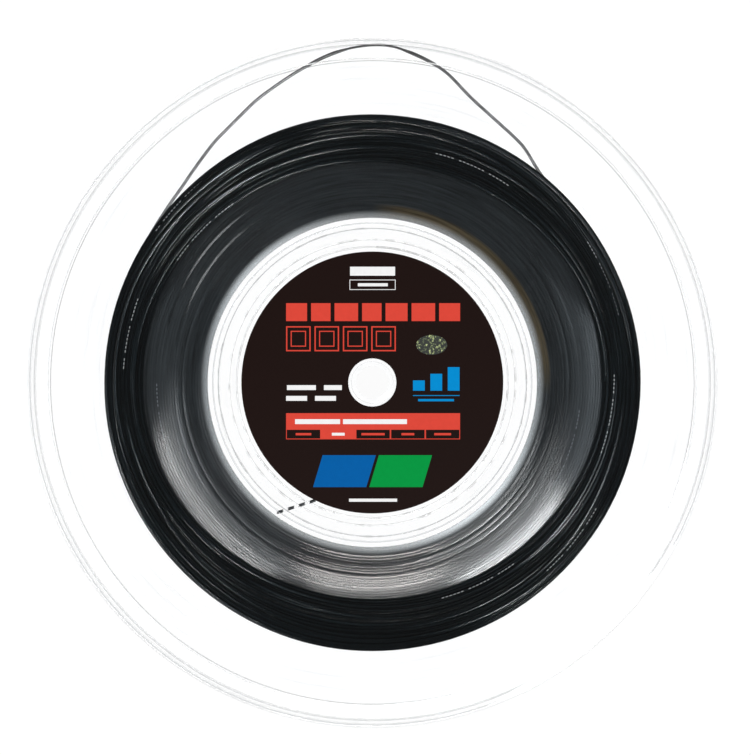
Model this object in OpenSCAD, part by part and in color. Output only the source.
// Reel of racket string: two clear moulded halves that snap together, a stuck-on label with a
// seal, and one long string wound on the drum between the flanges.
// The reel lies on its rear flange. The origin is the middle of the rear rim face, +Z runs along
// the bore towards the label, and all lengths are in millimetres.

/* [Flanges] */
// Outside diameter of both flanges
flange_d = 270; // [262:1:300]
// Overall width of the reel, from rim face to rim face
reel_w = 20; // [17:0.5:40]
// Wall of the flat webs and of the raised band round them
web_t = 1.6; // [1.2:0.1:2.2]
// Width of the raised band along the edge of a flange
band_w = 8.2; // [5:0.2:12]
// Height of the raised band over the flat web
band_step = 0.8; // [0.4:0.1:1.4]
// How far the edge of a flange overhangs its lip
edge_over = 1; // [0.8:0.1:1.6]
// Wall of the lips that keep the string in
lip_t = 1.6; // [1.2:0.1:2.2]
// Width of the slot between the two lips, where the string is drawn out
slot_w = 5; // [4.4:0.2:8]

/* [Drum] */
// Diameter of the drum that the string is wound on
drum_d = 129; // [118:1:140]
// Wall of each of the two drum sleeves, which nest in each other
drum_wall = 2; // [1.6:0.1:3]
// Radial clearance between the nested sleeves
drum_fit = 0.1; // [0.05:0.05:0.2]
// How far the snap bead stands out of the inner sleeve
snap_h = 0.4; // [0.2:0.05:0.6]
// Distance of the snap bead from the free end of the inner sleeve
snap_in = 3; // [2:0.5:5]

/* [Hub] */
// Diameter of the bore that the reel spins on
bore_d = 12.7; // [10:0.1:16]
// Wall of the hub tube on the rear half
hub_wall = 1.8; // [1.4:0.1:3]
// Wall of the collar on the front half that locates the hub tube
collar_wall = 1.6; // [1.2:0.1:3]
// Height of the collar
collar_h = 5; // [3:0.5:8]
// Radial clearance between the hub tube and the collar
collar_fit = 0.1; // [0.05:0.05:0.2]
// Clearance at the free end of the hub tube and of each drum sleeve
end_gap = 0.1; // [0.05:0.05:0.3]

/* [Label] */
// Diameter of the round label
label_d = 102.4; // [80:0.2:103]
// Diameter of the hole in the label
label_hole_d = 18.8; // [17:0.2:26]
// Thickness of the label
label_t = 0.15; // [0.1:0.05:0.3]
// Gap between the label and the low ring that guards its edge
guard_gap = 2; // [1:0.2:3]
// Width of the guard ring
guard_w = 3; // [1.6:0.2:4]
// Height of the guard ring over the web
guard_h = 0.35; // [0.3:0.05:0.4]
// Length of the oval seal on the label
seal_l = 9.6; // [6:0.2:14]
// Height of the oval seal on the label
seal_h = 6.4; // [4:0.2:10]
// Thickness of the seal
seal_t = 0.1; // [0.05:0.05:0.2]
// Place of the seal on the label, to the right of the bore
seal_x = 23; // [18:0.5:30]
// Place of the seal on the label, above the bore
seal_y = 15; // [8:0.5:24]

/* [String] */
// Diameter of the string
string_d = 1.2; // [1:0.05:1.35]
// Outside diameter of the winding
wound_d = 210.6; // [196:0.2:216]
// Diameter up to which the sides of the winding lie flat along the webs
flat_d = 176; // [160:1:184]
// Clearance between the winding and the webs
side_gap = 0.1; // [0.05:0.05:0.3]
// Clearance between the winding and the drum
drum_gap = 0.1; // [0.05:0.05:0.3]
// Clear gap between neighbouring turns of the outer layer
turn_gap = 0.5; // [0.45:0.05:1]
// Bearing at which the inner end of the string goes through the drum
anchor_at = 233.6; // [200:0.2:260]
// Slant of the inner end from the straight way to the axis
anchor_slant = 31.6; // [0:0.2:40]
// Height of the inner end over the middle of the reel
anchor_z = 2; // [-3:0.5:3]
// Length of the inner end inside the winding
inner_end_l = 28; // [12:1:40]

/* [Hidden] */
$fn = 96;

// Heights measured from the middle plane of the reel to the front half's faces; the rear half
// is the mirror image.
mid_z = reel_w / 2;
web_out = mid_z - band_step;
web_in = web_out - web_t;
band_in = mid_z - web_t;

flange_r = flange_d / 2;
band_r = flange_r - band_w;
lip_out_r = flange_r - edge_over;
lip_in_r = lip_out_r - lip_t;
drum_r = drum_d / 2;
sleeve_r = drum_r - drum_wall - drum_fit;
bore_r = bore_d / 2;
hub_r = bore_r + hub_wall;
label_r = label_d / 2;
guard_in_r = label_r + guard_gap;
label_z = mid_z + web_out;

// The snap bead is part of a small circle; its groove is the same circle with the sleeves'
// clearance added.
snap_r = snap_h + drum_fit;
snap_z = snap_in + end_gap - web_in;

// The winding: flat sides up to flat_r, then a rounded crown, which is half an ellipse.
string_r = string_d / 2;
wound_r = wound_d / 2;
flat_r = flat_d / 2;
wind_half = web_in - side_gap;
crown_a = wound_r - flat_r;
crown_steps = 16;

// The outer layer: a coil of straight runs over the crown, so its runs cut in from the true
// circle by turn_sag, and the core stays that much smaller. Lengths of string that meet leave
// the gap touch between them, so that they count as separate solids.
rings_per_loop = 24;
tube_sides = 6;
turn_sag = wound_r * (1 - cos(180 / rings_per_loop));
touch = 0.05;
core_clear = 0.1;
path_a = crown_a - string_r;
path_b = wind_half - string_r;
core_a = crown_a - string_d - turn_sag - core_clear;
core_b = wind_half - string_d - 2.5 * core_clear;
pitch = string_d + turn_gap;

// Arc length along a quarter of the coil's ellipse, from the top of the crown to its side.
arc_steps = 90;
function arc_speed(deg) = norm([path_a * sin(deg), path_b * cos(deg)]) * PI / 180;
arc_table = [for (i = 0, s = 0; i <= arc_steps; s = s + arc_speed(i + 0.5), i = i + 1) [s, i]];
quarter_arc = arc_table[arc_steps][0];

// The coil's ends stay clear of the step at flat_r, and its turns part in the middle of the
// crown, where the loose turn lies. The coil changes sides there at cross_at, within cross_deg.
end_room = string_r + turn_sag + core_clear;
cross_room = 0.5;
middle_step = pitch + cross_room;
cross_at = 270;
cross_deg = 60;
max_loops = 22;
loops = min(max_loops, floor((2 * (quarter_arc - end_room) - middle_step) / pitch));
coil_arc = loops * pitch + middle_step;
start_at = cross_at - 180 * loops;

// The loose turn lies in the middle plane. It rises off the core on the left, arcs up into the
// slot between the lips, and goes back under the outer turns on the right. Its route is in
// millimetres from the axis.
loose_route = [
    [-95.5, 40.5], [-92.5, 47.5], [-89.5, 54], [-86, 60], [-82.5, 65.5], [-78.5, 71.5],
    [-74.5, 77], [-70.5, 83], [-66.5, 88.5], [-62, 94.5], [-57, 99.5], [-51.5, 105],
    [-46, 110.5], [-40, 115], [-33.5, 119.5], [-27, 123.5], [-20, 127], [-13, 129.5],
    [-6, 131.5], [1, 132.5], [7.5, 132], [13.5, 129.5], [20, 127], [26, 124], [31, 120],
    [35.5, 115], [40, 110.5], [45, 106], [50, 101.5], [55, 97], [59.5, 92.5], [62.5, 87.5],
    [65.5, 82.5], [69, 78], [73.5, 73.5]
];
loose_sides = 8;

// Clearance round the inner end of the string where it goes through the drum.
hole_clear = 0.3;

// ---- Tubes ----

function unit(v) = v / norm(v);

// A regular ring of points round p, square to the direction d.
function square_ring(p, d, sides, r) =
    let (side = unit(cross(d, abs(d[2]) < 0.9 ? [0, 0, 1] : [1, 0, 0])), up = cross(d, side))
    [for (k = [0:sides - 1]) p + r * (cos(360 * k / sides) * side + sin(360 * k / sides) * up)];

// The ring carried on along d to the plane through p with that normal, which makes a mitred
// corner and keeps the tube as thick as it was.
function carried(ring, d, p, normal) =
    [for (v = ring) v + d * ((p - v) * normal) / (d * normal)];

function run_dir(path, i) = unit(path[i + 1] - path[i]);

function tube_rings(path, sides, r) =
    let (last = len(path) - 1)
    [for (i = 0, ring = square_ring(path[0], run_dir(path, 0), sides, r); i <= last;
          ring = i < last ? carried(ring, run_dir(path, i), path[i + 1],
              unit(run_dir(path, i) + run_dir(path, min(i + 1, last - 1)))) : ring,
          i = i + 1) ring];

// One closed tube along a path, with flat ends and triangles for faces.
module tube(path, sides, r) {
    rings = tube_rings(path, sides, r);
    last = len(path) - 1;
    sides_faces = [for (i = [0:last - 1], k = [0:sides - 1])
        let (a = i * sides + k, b = i * sides + (k + 1) % sides)
        each [[a, a + sides, b], [b, a + sides, b + sides]]];
    end_faces = [for (k = [1:sides - 2])
        each [[0, k, k + 1], [last * sides, last * sides + k + 1, last * sides + k]]];
    polyhedron(points = [for (ring = rings) each ring], faces = concat(sides_faces, end_faces));
}

// A smooth curve through the route's own points, with one more point between each two.
function bounded(route, i) = route[max(0, min(len(route) - 1, i))];
function between(route, i) =
    (9 * (bounded(route, i) + bounded(route, i + 1))
     - bounded(route, i - 1) - bounded(route, i + 2)) / 16;
function smoothed(route) =
    [for (i = [0:len(route) - 1]) each i < len(route) - 1 ? [route[i], between(route, i)] : [route[i]]];

// ---- The outer layer's path ----

// Distance along the crown at a turning angle, from the coil's start at the rear side.
function eased(t) = let (u = max(0, min(1, t))) u * u * (3 - 2 * u);
function crown_place(turned) =
    pitch * turned / 360 - coil_arc / 2
    + middle_step * eased((turned - 180 * loops) / cross_deg + 0.5);
// The point on the coil there: s is the distance from the top of the crown.
function coil_point(turned) =
    let (s = crown_place(turned), deg = lookup(abs(s), arc_table), at = start_at + turned,
         r = flat_r + path_a * cos(deg), z = sign(s) * path_b * sin(deg))
    [r * cos(at), r * sin(at), mid_z + z];
// The straight end of the coil, which turns in and meets the step of the core.
function coil_end(turned) =
    let (p = coil_point(turned), out = unit([p[0], p[1], 0]))
    [out[0] * (flat_r + touch), out[1] * (flat_r + touch), p[2]];

coil_body = [for (i = [0:loops * rings_per_loop]) coil_point(i * 360 / rings_per_loop)];
coil_path = concat([coil_end(0)], coil_body, [coil_end(loops * 360)]);
// The least gap from any point of the coil to the straight runs one loop further on.
function to_run(p, a, b) =
    let (t = max(0, min(1, (p - a) * (b - a) / ((b - a) * (b - a))))) norm(p - a - t * (b - a));
self_gap = min([for (i = [0:len(coil_body) - rings_per_loop - 2],
                     j = [i + rings_per_loop - 2:min(i + rings_per_loop + 1, len(coil_body) - 2)])
    to_run(coil_body[i], coil_body[j], coil_body[j + 1])]) - string_d;
echo(outer_layer_loops = loops, least_self_gap_mm = self_gap);

// ---- Pieces ----

// Half section of one flange, front side up, from the middle plane: flat web, raised band with a
// round edge, and the lip that turns in towards the other half.
module flange_section() {
    edge_r = web_t / 2;
    translate([bore_r, web_in]) square([band_r + web_t - bore_r, web_t]);
    translate([band_r, web_in]) square([web_t, mid_z - web_in]);
    translate([band_r, band_in]) square([band_w - edge_r, web_t]);
    translate([flange_r - edge_r, mid_z - edge_r]) circle(r = edge_r);
    translate([lip_in_r, slot_w / 2 + lip_t / 2]) square([lip_t, band_in - slot_w / 2]);
    translate([lip_in_r + lip_t / 2, slot_w / 2 + lip_t / 2]) circle(r = lip_t / 2);
    translate([guard_in_r, web_out]) square([guard_w, guard_h]);
}

// Along the inner end of the string: the origin is where it leaves the winding, and +Z is its way
// in.
module along_anchor() {
    translate([drum_r * cos(anchor_at), drum_r * sin(anchor_at), mid_z + anchor_z])
        rotate([0, 90, anchor_at + 180 - anchor_slant]) children();
}

// The slanting hole for it through both sleeves.
module anchor_hole() {
    both_walls = drum_r - sleeve_r + drum_wall;
    along_anchor() translate([0, 0, -drum_wall])
        cylinder(r = string_r + hole_clear, h = drum_wall + both_walls / cos(anchor_slant) + drum_wall,
                 $fn = 24);
}

module rear_half() {
    color([0.93, 0.95, 0.96, 0.35])
    difference() {
        translate([0, 0, mid_z]) rotate_extrude() {
            mirror([0, 1]) flange_section();
            // outer sleeve of the drum, with the groove for the snap bead
            difference() {
                translate([drum_r - drum_wall, -web_in]) square([drum_wall, 2 * web_in - end_gap]);
                translate([sleeve_r - drum_fit, snap_z]) circle(r = snap_r + drum_fit, $fn = 24);
            }
            // hub tube
            translate([bore_r, -web_out]) square([hub_wall, web_out + web_in - end_gap]);
        }
        anchor_hole();
    }
}

module front_half() {
    color([0.93, 0.95, 0.96, 0.35])
    difference() {
        translate([0, 0, mid_z]) rotate_extrude() {
            flange_section();
            // inner sleeve of the drum, with the snap bead near its free end
            translate([sleeve_r - drum_wall, end_gap - web_in])
                square([drum_wall, 2 * web_in - end_gap]);
            translate([sleeve_r - drum_fit, snap_z]) circle(r = snap_r, $fn = 24);
            // collar round the hub tube
            translate([hub_r + collar_fit, web_in - collar_h]) square([collar_wall, collar_h]);
        }
        anchor_hole();
    }
}

module label() {
    color([0.13, 0.1, 0.09])
    translate([0, 0, label_z]) difference() {
        cylinder(r = label_r, h = label_t);
        translate([0, 0, -1]) cylinder(r = label_hole_d / 2, h = label_t + 2);
    }
}

// An oval with two round ends.
module seal() {
    color([0.62, 0.6, 0.4])
    translate([seal_x, seal_y, label_z + label_t]) linear_extrude(seal_t) {
        square([seal_l - seal_h, seal_h], center = true);
        for (side = [-1, 1]) translate([side * (seal_l - seal_h) / 2, 0]) circle(d = seal_h);
    }
}

// All the inner layers of string as one ring: flat sides, a step, and the crown that the outer
// layer is wound over.
module string_core() {
    color([0.09, 0.09, 0.1])
    translate([0, 0, mid_z]) rotate_extrude() {
        translate([drum_r + drum_gap, -wind_half])
            square([flat_r - drum_r - drum_gap, 2 * wind_half]);
        polygon([for (i = [0:crown_steps]) let (deg = 180 * i / crown_steps - 90)
            [flat_r + core_a * cos(deg), core_b * sin(deg)]]);
    }
}

module string_outer_turns() {
    color([0.14, 0.14, 0.15]) tube(coil_path, tube_sides, string_r);
}

module string_loose_turn() {
    color([0.25, 0.25, 0.26])
        tube([for (p = smoothed(loose_route)) [p[0], p[1], mid_z]], loose_sides, string_r);
}

// The start of the string, which runs through the drum and ends behind the label.
module string_inner_end() {
    color([0.2, 0.2, 0.21])
    intersection() {
        along_anchor() translate([0, 0, -2 * string_d])
            cylinder(r = string_r, h = inner_end_l + 2 * string_d, $fn = 24);
        cylinder(r = drum_r + drum_gap - touch, h = reel_w);
    }
}

rear_half();
front_half();
label();
seal();
string_core();
string_outer_turns();
string_loose_turn();
string_inner_end();
